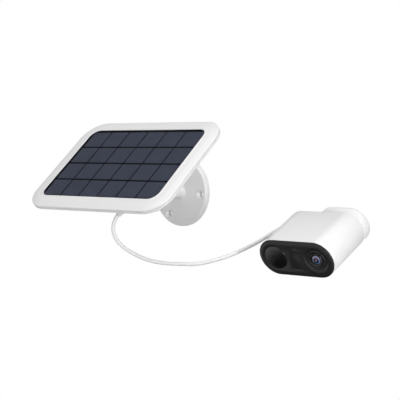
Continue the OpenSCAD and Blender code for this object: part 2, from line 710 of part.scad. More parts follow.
module stand() color("white") at_camera() difference() {
    intersection() {
        translate([stand_mid_x, 0, 0]) rearward() around_spine(stand_w - stand_h) polygon([
            [0, rear_y + gap], [stand_h / 2, rear_y + gap], [stand_h / 2, stand_back - 1.6],
            [stand_h / 2 - 0.6, stand_back - 0.5], [stand_h / 2 - 1.8, stand_back],
            [0, stand_back],
        ]);
        // side view: a slope at the top for a finger and a round knuckle at the bottom
        rotate([90, 0, 90]) translate([0, 0, stand_x0 - 1]) linear_extrude(stand_w + 2) {
            polygon([
                [hinge_y, -stand_h], [stand_back + 1, -stand_h], [stand_back + 1, stand_h],
                [stand_front, stand_h], [stand_front, stand_h / 2], [rear_y + gap, scoop_z],
                [rear_y + gap, hinge_z], [hinge_y, hinge_z],
            ]);
            translate([hinge_y, hinge_z]) circle(hinge_r);
        }
    }
    translate([-60, hinge_y, hinge_z]) rotate([0, 90, 0]) cylinder(r = pin_r + play, h = 120);
    for (x = lug_x) translate([x - lug_w / 2 - gap, 0, 0]) {
        translate([0, hinge_y, hinge_z]) rotate([0, 90, 0])
            cylinder(r = slot_r, h = lug_w + 2 * gap);
        translate([0, rear_y - 1, hinge_z])
            cube([lug_w + 2 * gap, hinge_y - rear_y + 1, slot_r]);
        // room below the pin for the lug as the stand folds down
        translate([0, rear_y - 1, -stand_h])
            cube([lug_w + 2 * gap, hinge_y + slot_r - rear_y + 1, stand_h + hinge_z]);
    }
    translate([insert_x, stand_back - 7, insert_z]) rearward() cylinder(r = 4.2 + play, h = 10);
}

module stand_pin() color("silver") at_camera()
    translate([pin_x0, hinge_y, hinge_z]) rotate([0, 90, 0]) cylinder(r = pin_r, h = pin_len);

module stand_insert() color("gold") at_camera()
    translate([insert_x, 0, insert_z]) rearward() tube(4.2, 3.2, stand_back - 6.9, stand_back - 0.1);

module stand_pad() color("dimgray") at_camera() translate([stand_mid_x, stand_back + 0.05, 0])
    rearward() difference() {
        linear_extrude(0.8) stadium(stand_w - 6, stand_h - 6);
        translate([insert_x - stand_mid_x, -insert_z, -1]) cylinder(r = 4.6, h = 4);
    }

wall_base();
ball_stud();
ball_seat();
socket_cup();
clamp_ring();
panel_frame();
panel_glass();
solar_cells();
cell_ribbons();
cell_board();
panel_gasket();
panel_back();
panel_insert();
panel_screws();
charge_board();
charge_parts();
lead_gland();
solar_lead();
lead_plug();
plug_boot();
front_panel();
front_seal();
motion_lens();
motion_sensor();
lens_ring();
lens_barrel();
front_lens();
image_sensor();
light_window();
microphone();
status_bar();
camera_housing();
rear_cover();
rear_screws();
main_board();
board_parts();
antenna();
speaker();
battery_cells();
battery_tray();
usb_socket();
power_button();
reset_button();
card_door();
card_socket();
memory_card();
stand();
stand_pin();
stand_insert();
stand_pad();
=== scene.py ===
"""A small solar panel on a round wall bracket, a battery camera beside it, and the lead between them.

Metres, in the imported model's own frame: +X along the wall, +Y into the wall, +Z up.
Shapes are drawn in millimetres in the panel's, the bracket's or the camera's own place, and are
brought to the frame as each piece is finished.
"""

import json
import math

import bmesh
import bpy
from mathutils import Matrix, Vector


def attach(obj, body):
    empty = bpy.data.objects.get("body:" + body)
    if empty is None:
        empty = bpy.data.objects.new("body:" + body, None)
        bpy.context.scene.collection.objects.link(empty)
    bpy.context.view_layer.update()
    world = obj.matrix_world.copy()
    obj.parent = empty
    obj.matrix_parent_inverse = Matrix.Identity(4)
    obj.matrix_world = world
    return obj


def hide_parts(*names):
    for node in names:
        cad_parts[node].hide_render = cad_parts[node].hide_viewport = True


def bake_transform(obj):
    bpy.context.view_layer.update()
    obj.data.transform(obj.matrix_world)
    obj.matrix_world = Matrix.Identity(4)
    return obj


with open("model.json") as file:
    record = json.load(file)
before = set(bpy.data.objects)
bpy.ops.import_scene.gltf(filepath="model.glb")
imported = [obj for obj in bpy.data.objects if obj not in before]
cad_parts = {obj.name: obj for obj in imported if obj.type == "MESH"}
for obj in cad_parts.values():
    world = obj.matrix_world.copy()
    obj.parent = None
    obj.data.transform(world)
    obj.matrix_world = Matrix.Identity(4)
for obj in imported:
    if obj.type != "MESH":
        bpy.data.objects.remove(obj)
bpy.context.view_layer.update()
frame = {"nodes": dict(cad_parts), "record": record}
SLOT_OF = {part["node"]: part["material_slot"] for part in frame["record"]["subparts"]}
BODY_OF = {node: body for body, nodes in frame["record"]["behaviour"]["bodies"].items() for node in nodes}


# ---------- places ----------

MM = Matrix.Scale(0.001, 4)
PANEL_TILT = math.radians(40)
CAMERA_PITCH = math.radians(26.45)
BALL = Vector((0, -0.0715, 0))
CAMERA_POINT = Vector((0.2142, -0.0833, -0.05735))

AT_BRACKET = Matrix.Rotation(math.pi / 2, 4, "X") @ MM       # local z comes out of the wall
AT_PANEL = Matrix.Translation(BALL) @ Matrix.Rotation(PANEL_TILT, 4, "X") @ MM
AT_CAMERA = Matrix.Translation(CAMERA_POINT) @ Matrix.Rotation(CAMERA_PITCH, 4, "X") @ MM
REARWARD = AT_CAMERA @ Matrix.Rotation(-math.pi / 2, 4, "X")  # local z runs to the camera's rear


# ---------- view ----------

VIEW_AZIMUTH = 39.657
VIEW_ELEVATION = 2.707
VIEW_POINT = Vector((0.8466, -0.9914, 0.0522))
SENSOR_WIDTH = 36
FOCAL_LENGTH = 102.9


def add_view():
    lens = bpy.data.cameras.new("view")
    lens.sensor_width = SENSOR_WIDTH
    lens.lens = FOCAL_LENGTH
    lens.clip_start = 0.01
    view = bpy.data.objects.new("view", lens)
    view.location = VIEW_POINT
    view.rotation_euler = (math.radians(90 - VIEW_ELEVATION), 0, math.radians(VIEW_AZIMUTH))
    bpy.context.scene.collection.objects.link(view)
    bpy.context.scene.camera = view


add_view()


# ---------- shader effects, each a node group with named inputs ----------

def link(tree, source, target):
    tree.links.new(source, target)


def node_in(tree, kind, **settings):
    node = tree.nodes.new(kind)
    for key, value in settings.items():
        setattr(node, key, value)
    return node


def calc(tree, operation, a, b=None, c=None):
    """One Math node. Each of a, b and c is a number or an output socket."""
    node = node_in(tree, "ShaderNodeMath", operation=operation)
    for i, value in enumerate((a, b, c)):
        if value is None:
            continue
        if isinstance(value, bpy.types.NodeSocket):
            link(tree, value, node.inputs[i])
        else:
            node.inputs[i].default_value = value
    return node.outputs[0]


def noise(tree, size, detail=2.0, stretch=None):
    """Noise on Object coordinates, its features about as large as size, in millimetres.
    Size is a number or a socket; stretch draws the pattern out along an axis."""
    where = node_in(tree, "ShaderNodeTexCoord").outputs["Object"]
    if stretch:
        mapping = node_in(tree, "ShaderNodeMapping")
        mapping.inputs["Scale"].default_value = stretch
        link(tree, where, mapping.inputs["Vector"])
        where = mapping.outputs["Vector"]
    pattern = node_in(tree, "ShaderNodeTexNoise")
    pattern.inputs["Detail"].default_value = detail
    link(tree, where, pattern.inputs["Vector"])
    link(tree, calc(tree, "DIVIDE", 1000.0, size), pattern.inputs["Scale"])
    return pattern.outputs["Fac"]


def new_effect(name, inputs, outputs):
    tree = bpy.data.node_groups.new(name, "ShaderNodeTree")
    for label, kind, value in inputs:
        socket = tree.interface.new_socket(label, in_out="INPUT", socket_type="NodeSocket" + kind)
        socket.default_value = value
    for label, kind in outputs:
        tree.interface.new_socket(label, in_out="OUTPUT", socket_type="NodeSocket" + kind)
    return tree, node_in(tree, "NodeGroupInput"), node_in(tree, "NodeGroupOutput")


def moulded_skin():
    """The fine spark-eroded grain of moulded plastic, with slow drifts in tone and gloss."""
    tree, given, out = new_effect(
        "moulded_skin",
        [("Colour", "Color", (0.8, 0.8, 0.8, 1)), ("Drift", "Float", 0.03),
         ("Grain Size", "Float", 0.35), ("Gloss Patch", "Float", 45.0),
         ("Roughness", "Float", 0.4), ("Roughness Spread", "Float", 0.08)],
        [("Colour", "Color"), ("Roughness", "Float"), ("Height", "Float")])
    patches = noise(tree, given.outputs["Gloss Patch"], detail=3)
    grain = noise(tree, given.outputs["Grain Size"], detail=1)
    centred = calc(tree, "SUBTRACT", patches, 0.5)
    tone = calc(tree, "MULTIPLY_ADD", centred, given.outputs["Drift"], 1.0)
    shade = node_in(tree, "ShaderNodeVectorMath", operation="SCALE")
    link(tree, given.outputs["Colour"], shade.inputs[0])
    link(tree, tone, shade.inputs["Scale"])
    link(tree, shade.outputs[0], out.inputs["Colour"])
    spread = calc(tree, "MULTIPLY", centred, given.outputs["Roughness Spread"])
    link(tree, calc(tree, "ADD", spread, given.outputs["Roughness"]), out.inputs["Roughness"])
    link(tree, grain, out.inputs["Height"])
    return tree


def brushed_metal():
    """Fine tool marks along one direction."""
    tree, given, out = new_effect(
        "brushed_metal",
        [("Mark Size", "Float", 0.5), ("Roughness", "Float", 0.25), ("Spread", "Float", 0.2)],
        [("Roughness", "Float"), ("Height", "Float")])
    marks = noise(tree, given.outputs["Mark Size"], detail=3, stretch=(1, 12, 12))
    centred = calc(tree, "SUBTRACT", marks, 0.5)
    spread = calc(tree, "MULTIPLY", centred, given.outputs["Spread"])
    link(tree, calc(tree, "ADD", spread, given.outputs["Roughness"]), out.inputs["Roughness"])
    link(tree, marks, out.inputs["Height"])
    return tree


MOULDED_SKIN = moulded_skin()
BRUSHED_METAL = brushed_metal()


# ---------- materials, one for each finish in the record ----------

def start_material(name):
    material = bpy.data.materials.new(name)
    material.use_nodes = True
    tree = material.node_tree
    return material, tree, tree.nodes["Principled BSDF"]


def place_effect(tree, effect, **values):
    node = node_in(tree, "ShaderNodeGroup", node_tree=effect)
    for label, value in values.items():
        node.inputs[label.replace("_", " ")].default_value = value
    return node


def add_bump(tree, shader, height, strength, depth_mm):
    bump = node_in(tree, "ShaderNodeBump")
    bump.inputs["Strength"].default_value = strength
    bump.inputs["Distance"].default_value = depth_mm / 1000
    link(tree, height, bump.inputs["Height"])
    link(tree, bump.outputs["Normal"], shader.inputs["Normal"])


def plastic(name, colour, roughness, grain=0.35, depth=0.02, drift=0.03, specular=0.5, coat=0.0,
            sheen=0.0, subsurface=0.0):
    material, tree, shader = start_material(name)
    skin = place_effect(tree, MOULDED_SKIN, Colour=(*colour, 1), Drift=drift, Grain_Size=grain,
                        Roughness=roughness, Roughness_Spread=roughness * 0.25)
    link(tree, skin.outputs["Colour"], shader.inputs["Base Color"])
    link(tree, skin.outputs["Roughness"], shader.inputs["Roughness"])
    add_bump(tree, shader, skin.outputs["Height"], 0.35, depth)
    shader.inputs["Specular IOR Level"].default_value = specular
    shader.inputs["Coat Weight"].default_value = coat
    shader.inputs["Coat Roughness"].default_value = 0.05
    shader.inputs["Sheen Weight"].default_value = sheen
    shader.inputs["Subsurface Weight"].default_value = subsurface
    shader.inputs["Subsurface Radius"].default_value = (0.002, 0.002, 0.0018)
    return material


def metal(name, colour, roughness, mark_size=0.5):
    material, tree, shader = start_material(name)
    marks = place_effect(tree, BRUSHED_METAL, Mark_Size=mark_size, Roughness=roughness,
                         Spread=roughness * 0.8)
    shader.inputs["Base Color"].default_value = (*colour, 1)
    shader.inputs["Metallic"].default_value = 1
    link(tree, marks.outputs["Roughness"], shader.inputs["Roughness"])
    add_bump(tree, shader, marks.outputs["Height"], 0.25, 0.01)
    return material


def ramp(tree, factor, stops):
    """A colour ramp through (position, colour) stops."""
    node = node_in(tree, "ShaderNodeValToRGB")
    elements = node.color_ramp.elements
    while len(elements) < len(stops):
        elements.new(0.5)
    for element, (at, colour) in zip(elements, stops):
        element.position = at
        element.color = (*colour, 1)
    link(tree, factor, node.inputs["Fac"])
    return node.outputs["Color"]


def along(tree, origin, direction):
    """How far a point lies from origin along direction, in millimetres."""
    offset = node_in(tree, "ShaderNodeVectorMath", operation="SUBTRACT")
    link(tree, node_in(tree, "ShaderNodeTexCoord").outputs["Object"], offset.inputs[0])
    offset.inputs[1].default_value = origin
    dot = node_in(tree, "ShaderNodeVectorMath", operation="DOT_PRODUCT")
    link(tree, offset.outputs[0], dot.inputs[0])
    dot.inputs[1].default_value = Vector(direction) * 1000
    return dot.outputs["Value"]


# places on the camera's front, in its own millimetres
FACE = -0.6            # front of the dark panel
MOTION_X = -23.3
LENS_X = 23.8
LENS_Z = 0.5           # the lens and the motion dome are level
LENS_GLASS_R = 5.3
LENS_POINT = AT_CAMERA @ Vector((LENS_X, FACE, LENS_Z))
# the lens colours are painted lighter towards this direction, as painted light from above
CAMERA_UP = (AT_CAMERA.to_3x3() @ Vector((0, 0, 1000))).normalized()


def silicon():
    """Dark slate-blue cells under a dimpled film, each with a faint drift in tone."""
    material, tree, shader = start_material("silicon")
    cloud = noise(tree, 24, detail=4)
    grain = noise(tree, 0.5, detail=2)
    tone = calc(tree, "ADD", calc(tree, "MULTIPLY", cloud, 0.8), calc(tree, "MULTIPLY", grain, 0.2))
    colour = ramp(tree, tone, [(0.3, (0.027, 0.034, 0.058)), (0.7, (0.037, 0.045, 0.074))])
    link(tree, colour, shader.inputs["Base Color"])
    link(tree, calc(tree, "MULTIPLY_ADD", grain, 0.15, 0.4), shader.inputs["Roughness"])
    add_bump(tree, shader, grain, 0.3, 0.02)
    shader.inputs["Specular IOR Level"].default_value = 0.25
    return material


def cover_glass():
    """Clear cover with the low haze of a matt film."""
    material, tree, shader = start_material("panel_cover_glass")
    dimples = noise(tree, 0.8, detail=2)
    shader.inputs["Base Color"].default_value = (1, 1, 1, 1)
    shader.inputs["Transmission Weight"].default_value = 1
    shader.inputs["IOR"].default_value = 1.04
    link(tree, calc(tree, "MULTIPLY_ADD", dimples, 0.06, 0.02), shader.inputs["Roughness"])
    add_bump(tree, shader, dimples, 0.1, 0.005)
    return material


def lens_glass():
    """Coated lens, from its axis out: warm pupil, dark blue pool, bluish to lilac ring, black rim. The
    pupil and ring colours are painted reflections of the coating, and the ring is painted lighter lilac in
    its upper half and darker blue in its lower half, as painted light from above.
    """
    material, tree, shader = start_material("lens_glass")
    across = along(tree, LENS_POINT, (1, 0, 0))
    above = along(tree, LENS_POINT, CAMERA_UP)
    radius = calc(tree, "SQRT", calc(tree, "ADD", calc(tree, "MULTIPLY", across, across),
                                     calc(tree, "MULTIPLY", above, above)))
    share = calc(tree, "DIVIDE", radius, LENS_GLASS_R)
    pupil = [(0.0, (0.55, 0.24, 0.13)), (0.13, (0.42, 0.17, 0.10)), (0.2, (0.008, 0.012, 0.03))]
    rim = [(1.0, (0.01, 0.01, 0.012))]
    # painted reflections: the upper half's ring is painted lighter lilac as painted light from above, the
    # lower half's darker blue as painted shade
    lit_upper_reflection = ramp(tree, share, pupil + [
        (0.45, (0.012, 0.03, 0.07)), (0.6, (0.10, 0.10, 0.20)), (0.76, (0.30, 0.23, 0.42)),
        (0.88, (0.05, 0.05, 0.10))] + rim)
    shaded_lower_reflection = ramp(tree, share, pupil + [
        (0.45, (0.008, 0.02, 0.05)), (0.6, (0.03, 0.08, 0.16)), (0.76, (0.10, 0.17, 0.27)),
        (0.88, (0.02, 0.03, 0.06))] + rim)
    fade = 4   # the painted lit upper half and painted shaded lower half blend this far above and below the middle
    height = node_in(tree, "ShaderNodeMapRange")
    height.inputs["From Min"].default_value = -fade
    height.inputs["From Max"].default_value = fade
    link(tree, above, height.inputs["Value"])
    mix = node_in(tree, "ShaderNodeMix", data_type="RGBA")
    link(tree, height.outputs["Result"], mix.inputs["Factor"])
    link(tree, shaded_lower_reflection, mix.inputs["A"])
    link(tree, lit_upper_reflection, mix.inputs["B"])
    link(tree, mix.outputs["Result"], shader.inputs["Base Color"])
    shader.inputs["Roughness"].default_value = 0.12
    shader.inputs["Specular IOR Level"].default_value = 0.4
    shader.inputs["Coat Weight"].default_value = 1
    shader.inputs["Coat Roughness"].default_value = 0.02
    return material


def circuit_board():
    """Green solder mask over a faint lattice of tracks."""
    material, tree, shader = start_material("circuit_board")
    tracks = node_in(tree, "ShaderNodeTexBrick")
    tracks.inputs["Scale"].default_value = 260
    tracks.inputs["Mortar Size"].default_value = 0.04
    tracks.inputs["Color1"].default_value = (0.010, 0.085, 0.035, 1)
    tracks.inputs["Color2"].default_value = (0.012, 0.10, 0.04, 1)
    tracks.inputs["Mortar"].default_value = (0.03, 0.17, 0.07, 1)
    link(tree, node_in(tree, "ShaderNodeTexCoord").outputs["Object"], tracks.inputs["Vector"])
    link(tree, tracks.outputs["Color"], shader.inputs["Base Color"])
    link(tree, calc(tree, "MULTIPLY_ADD", noise(tree, 6), 0.15, 0.28), shader.inputs["Roughness"])
    add_bump(tree, shader, tracks.outputs["Fac"], 0.3, 0.02)
    return material


def battery_wrap():
    """Shrink sleeve: coloured film with small creases."""
    material, tree, shader = start_material("battery_wrap")
    creases = noise(tree, 3, detail=4, stretch=(0.3, 1, 1))
    link(tree, ramp(tree, creases, [(0.3, (0.03, 0.13, 0.30)), (0.7, (0.05, 0.18, 0.38))]),
         shader.inputs["Base Color"])
    link(tree, calc(tree, "MULTIPLY_ADD", creases, 0.2, 0.22), shader.inputs["Roughness"])
    add_bump(tree, shader, creases, 0.3, 0.05)
    return material


WHITE = (0.80, 0.80, 0.80)
MATERIALS = {
    "white_shell": plastic("white_shell", WHITE, 0.38, subsurface=0.08),
    "dark_face": plastic("dark_face", (0.015, 0.015, 0.016), 0.36, grain=0.25, specular=0.4, drift=0.2),
    "gloss_black": plastic("gloss_black", (0.006, 0.006, 0.007), 0.12, depth=0.002, coat=0.6),
    "panel_cover_glass": cover_glass(),
    "lens_glass": lens_glass(),
    "silicon": silicon(),
    "cell_backing": plastic("cell_backing", (0.008, 0.008, 0.009), 0.8, grain=0.6, specular=0.02),
    "tinned_ribbon": metal("tinned_ribbon", (0.75, 0.76, 0.78), 0.3, mark_size=1),
    "circuit_board": circuit_board(),
    "chips": plastic("chips", (0.02, 0.02, 0.022), 0.55, grain=0.15, depth=0.01, drift=0.3),
    "steel": metal("steel", (0.62, 0.63, 0.65), 0.26),
    "brass": metal("brass", (0.78, 0.56, 0.25), 0.28),
    "soft_seal": plastic("soft_seal", (0.05, 0.05, 0.052), 0.72, grain=0.5, depth=0.03, sheen=0.2),
    "lead_sheath": plastic("lead_sheath", (0.82, 0.82, 0.82), 0.45, grain=0.5, depth=0.004, subsurface=0.1),
    "nylon": plastic("nylon", (0.10, 0.10, 0.11), 0.5, grain=0.6, depth=0.02, drift=0.1),
    "battery_wrap": battery_wrap(),
    "light_guide": plastic("light_guide", (0.055, 0.057, 0.06), 0.25, depth=0.004, coat=0.4),
    "grey_button": plastic("grey_button", (0.35, 0.35, 0.36), 0.45, grain=0.3),
}


# ---------- making pieces ----------

SMOOTH_BELOW = 35   # degrees: flatter edges shade as one curve
SHARP_ABOVE = 40    # degrees: sharper edges get a small round
SKIN_EDGE = 0.12    # that round's size on a copied CAD node


def as_mesh(name, shape):
    """Turns a bmesh into a mesh; the bmesh itself goes."""
    mesh = bpy.data.meshes.new(name)
    shape.to_mesh(mesh)
    shape.free()
    return mesh


def added(name, mesh):
    """Puts a mesh in the scene as an object."""
    made = bpy.data.objects.new(name, mesh)
    bpy.context.scene.collection.objects.link(made)
    return made


def cleaned(shape):
    """Merges doubled corners and turns the faces outwards."""
    bmesh.ops.remove_doubles(shape, verts=shape.verts, dist=0.0005)
    bmesh.ops.dissolve_degenerate(shape, edges=shape.edges, dist=0.0005)
    bmesh.ops.recalc_face_normals(shape, faces=shape.faces)
    return shape


def shown(name, mesh, node, smooth_below=SMOOTH_BELOW, replaced=None, rides=True):
    """Finishes a mesh that is already in place: it stands for the CAD node, in that node's finish, and
    rides on that node's body unless rides is off."""
    mesh.polygons.foreach_set("use_smooth", [True] * len(mesh.polygons))
    mesh.set_sharp_from_angle(angle=math.radians(smooth_below))
    mesh.materials.clear()
    mesh.materials.append(MATERIALS[SLOT_OF[node]])
    piece = added(name, mesh)
    if rides:
        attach(piece, BODY_OF[node])
    names = [node] if replaced is None else replaced
    if names:
        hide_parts(*names)
    return piece


def finish(name, shape, place, node, replaced=None):
    """Turns a bmesh drawn in millimetres into a shown piece."""
    cleaned(shape).transform(place)
    return shown(name, as_mesh(name, shape), node, replaced=replaced)


def loft(shape, rings, closed=False, caps=False):
    """Joins rings of points in order. Closed joins the last ring to the first; caps fill both ends."""
    rows = [[shape.verts.new(point) for point in ring] for ring in rings]
    count = len(rows[0])
    pairs = list(zip(rows, rows[1:]))
    if closed:
        pairs.append((rows[-1], rows[0]))
    for low, high in pairs:
        for i in range(count):
            j = (i + 1) % count
            shape.faces.new((low[i], low[j], high[j], high[i]))
    if caps:
        shape.faces.new(rows[0])
        shape.faces.new(rows[-1][::-1])
    return shape


def rounded(corners, steps=4):
    """An outline from (x, y, radius) corners, each corner with a radius turned into a short curve."""
    points = []
    for i, (x, y, radius) in enumerate(corners):
        corner = Vector((x, y))
        if radius == 0:
            points.append(corner)
            continue
        before = Vector(corners[i - 1][:2]) - corner
        after = Vector(corners[(i + 1) % len(corners)][:2]) - corner
        cut = radius / math.tan(before.angle(after) / 2)
        start = corner + before.normalized() * min(cut, before.length * 0.48)
        end = corner + after.normalized() * min(cut, after.length * 0.48)
        for k in range(steps + 1):
            t = k / steps
            points.append((1 - t) ** 2 * start + 2 * t * (1 - t) * corner + t * t * end)
    return points


def around(outline, width, depth=0.0, steps=24, closed=True):
    """Sweeps an outline of (distance, height) around a box with round corners. The distance is
    measured from the corners' centres, which lie on a box width by depth. With no depth the sweep
    has two round ends."""
    rings = []
    for distance, height in outline:
        ring = []
        for quarter, (sx, sy) in enumerate(((1, 1), (-1, 1), (-1, -1), (1, -1))):
            for k in range(steps + 1):
                angle = (quarter + k / steps) * math.pi / 2
                ring.append((sx * width / 2 + distance * math.cos(angle),
                             sy * depth / 2 + distance * math.sin(angle), height))
        rings.append(ring)
    return loft(bmesh.new(), rings, closed=closed, caps=not closed)


def spun(outline, centre=(0, 0), steps=96, closed=True):
    """Turns an outline of (radius, height) about a line along z through centre."""
    rings = []
    for radius, height in outline:
        rings.append([(centre[0] + radius * math.cos(2 * math.pi * k / steps),
                       centre[1] + radius * math.sin(2 * math.pi * k / steps), height)
                      for k in range(steps)])
    return loft(bmesh.new(), rings, closed=closed)


def plain_object(name, shape):
    """A helper object with no finish, for a modifier to use."""
    return added(name, as_mesh(name, cleaned(shape)))


def evaluated_shape(made):
    """The object's mesh with its modifiers applied, as a bmesh; the object itself goes."""
    bpy.context.view_layer.update()
    graph = bpy.context.evaluated_depsgraph_get()
    mesh = bpy.data.meshes.new_from_object(made.evaluated_get(graph))
    shape = bmesh.new()
    shape.from_mesh(mesh)
    bpy.data.meshes.remove(mesh)
    bpy.data.objects.remove(made)
    return shape


def carved(name, solid, cutter, rim=0.0):
    """The solid less the cutter, with its sharp edges rounded by rim."""
    body = plain_object(name + "_solid", solid)
    tool = plain_object(name + "_tool", cutter)
    boolean = body.modifiers.new("cut", "BOOLEAN")
    boolean.operation = "DIFFERENCE"
    boolean.solver = "EXACT"
    boolean.object = tool
    if rim:
        bevel = body.modifiers.new("rims", "BEVEL")
        bevel.width = rim
        bevel.segments = 3
        bevel.limit_method = "ANGLE"
        bevel.angle_limit = math.radians(SHARP_ABOVE)
    shape = evaluated_shape(body)
    bpy.data.objects.remove(tool)
    return shape


def skin(node):
    """A clean copy of a CAD node with its sharp corners softened by a small round."""
    source = frame["nodes"][node].data
    shape = bmesh.new()
    verts = [shape.verts.new(v.co) for v in source.vertices]
    for polygon in source.polygons:
        shape.faces.new([verts[i] for i in polygon.vertices])
    bmesh.ops.remove_doubles(shape, verts=shape.verts, dist=2e-6)
    bmesh.ops.dissolve_limit(shape, angle_limit=math.radians(0.3), verts=shape.verts, edges=shape.edges)
    sharp = [edge for edge in shape.edges
             if len(edge.link_faces) == 2 and edge.calc_face_angle() > math.radians(SHARP_ABOVE)]
    bmesh.ops.bevel(shape, geom=sharp, offset=SKIN_EDGE / 1000, segments=2, profile=0.5,
                    affect="EDGES", clamp_overlap=True)
    name = node + "_piece"
    return shown(name, as_mesh(name, shape), node)


# ---------- lead ----------

LEAD_DIAMETER = 0.004
LEAD_ROUTE = [
    (0.026, -0.1293, -0.0152), (0.026, -0.1338, -0.019), (0.026, -0.1369, -0.0216),
    (0.0256, -0.1398, -0.0265), (0.025, -0.141, -0.0335), (0.027, -0.1395, -0.0425),
    (0.0315, -0.135, -0.051), (0.04, -0.128, -0.0585), (0.0505, -0.12, -0.0646),
    (0.06, -0.1115, -0.068), (0.07, -0.103, -0.0695), (0.0795, -0.0945, -0.07),
    (0.0895, -0.086, -0.07), (0.099, -0.0775, -0.068), (0.109, -0.069, -0.0645),
    (0.1185, -0.06, -0.06), (0.1275, -0.051, -0.0543), (0.137, -0.042, -0.0477),
    (0.145, -0.0345, -0.0411), (0.152, -0.0275, -0.0352), (0.1585, -0.0229, -0.0311),
    (0.165, -0.02207, -0.03024), (0.1685, -0.02207, -0.03024), (0.172, -0.02207, -0.03024),
]


def smooth_route(points, per_span):
    """The curve that part.scad sweeps: each span bends with its neighbours."""
    places = [Vector(p) for p in points]
    last = len(places) - 1
    line = []
    for i in range(last):
        a, b = places[max(i - 1, 0)], places[i]
        c, d = places[i + 1], places[min(i + 2, last)]
        for k in range(per_span):
            u = k / per_span
            line.append(0.5 * (2 * b + (c - a) * u + (2 * a - 5 * b + 4 * c - d) * u * u
                               + (3 * b - a - 3 * c + d) * u ** 3))
    return line + [places[-1]]


def add_lead():
    """A round sheath swept along the route, which leaves the gland and ends in the plug's boot."""
    sides = 24
    line = smooth_route(LEAD_ROUTE, 6)
    shape = bmesh.new()
    rings = []
    side = Vector((1, 0, 0))
    for i, point in enumerate(line):
        ahead = (line[min(i + 1, len(line) - 1)] - line[max(i - 1, 0)]).normalized()
        side = (side - side.dot(ahead) * ahead).normalized()
        other = ahead.cross(side)
        rings.append([point + LEAD_DIAMETER / 2 * (math.cos(2 * math.pi * k / sides) * side
                                                   + math.sin(2 * math.pi * k / sides) * other)
                      for k in range(sides)])
    loft(shape, rings, caps=True)
    bmesh.ops.recalc_face_normals(shape, faces=shape.faces)
    mesh = as_mesh("lead_sheath", shape)
    return shown("lead_sheath", mesh, "solar_lead", smooth_below=60, rides=False), line


lead, lead_line = add_lead()
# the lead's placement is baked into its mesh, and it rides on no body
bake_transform(lead)


# ---------- wall bracket ----------

SCREW_COUNT = 3
SCREW_CIRCLE_R = 30
SCREW_TURN = 3.5   # degrees


def add_wall_base():
    """The plate and its arm as one turned shape, bored for the ball's shank, with countersunk holes."""
    plate_r, plate_top = 39, 6.3
    arm_r, arm_end = 6.8, 54.5
    bore_r, bore_floor = 3.05, 34
    outline = rounded([
        (0, 0, 0), (plate_r, 0, 0.3), (plate_r, 3.6, 1.6), (plate_r - 1.8, plate_top, 1.2),
        (arm_r + 3.6, plate_top, 0), (arm_r + 1.6, plate_top, 1.2), (arm_r, 8, 1.2),
        (arm_r, arm_end - 4, 0.6), (4.2, arm_end, 0.6), (bore_r, arm_end, 0.1),
        (bore_r, bore_floor, 0), (0, bore_floor, 0)])
    hole_r, head_r = 2.3, 4.3
    hole = [(0, -1), (hole_r, -1), (hole_r, 3.9), (head_r, 5.9), (head_r + 0.25, 7.3), (0, 7.3)]
    holes = bmesh.new()
    for i in range(SCREW_COUNT):
        angle = math.radians(SCREW_TURN + 360 / SCREW_COUNT * i)
        centre = (SCREW_CIRCLE_R * math.cos(angle), -SCREW_CIRCLE_R * math.sin(angle))
        one = as_mesh("hole", spun(hole, centre, steps=48, closed=False))
        holes.from_mesh(one)
        bpy.data.meshes.remove(one)
    shape = carved("wall_base", spun(outline, steps=160, closed=False), holes, rim=0.25)
    finish("wall_base_piece", shape, AT_BRACKET, "wall_base")


add_wall_base()
for node in ("ball_stud", "ball_seat", "socket_cup"):
    skin(node)


# ---------- repeated shapes, by geometry nodes ----------

def new_tree(name, inputs):
    tree = bpy.data.node_groups.new(name, "GeometryNodeTree")
    tree.interface.new_socket("Geometry", in_out="INPUT", socket_type="NodeSocketGeometry")
    for label, kind, value in inputs:
        socket = tree.interface.new_socket(label, in_out="INPUT", socket_type="NodeSocket" + kind)
        if value is not None:
            socket.default_value = value
    tree.interface.new_socket("Geometry", in_out="OUTPUT", socket_type="NodeSocketGeometry")
    return tree, node_in(tree, "NodeGroupInput"), node_in(tree, "NodeGroupOutput")


def end_tree(tree, given, out, geometry):
    """Instances become real and take their material, because the export drops instances."""
    real = node_in(tree, "GeometryNodeRealizeInstances")
    paint = node_in(tree, "GeometryNodeSetMaterial")
    link(tree, geometry, real.inputs[0])
    link(tree, real.outputs[0], paint.inputs["Geometry"])
    link(tree, given.outputs["Material"], paint.inputs["Material"])
    link(tree, paint.outputs[0], out.inputs[0])


def item_grid():
    """A flat grid of one item."""
    tree, given, out = new_tree("item_grid", [
        ("Item", "Object", None), ("Columns", "Int", 6), ("Rows", "Int", 4),
        ("Pitch X", "Float", 1.0), ("Pitch Y", "Float", 1.0), ("Material", "Material", None)])
    grid = node_in(tree, "GeometryNodeMeshGrid")
    link(tree, given.outputs["Columns"], grid.inputs["Vertices X"])
    link(tree, given.outputs["Rows"], grid.inputs["Vertices Y"])
    for label, count in (("X", "Columns"), ("Y", "Rows")):
        spans = calc(tree, "SUBTRACT", given.outputs[count], 1.0)
        link(tree, calc(tree, "MULTIPLY", spans, given.outputs["Pitch " + label]),
             grid.inputs["Size " + label])
    place_items(tree, given, out, grid.outputs["Mesh"])
    return tree


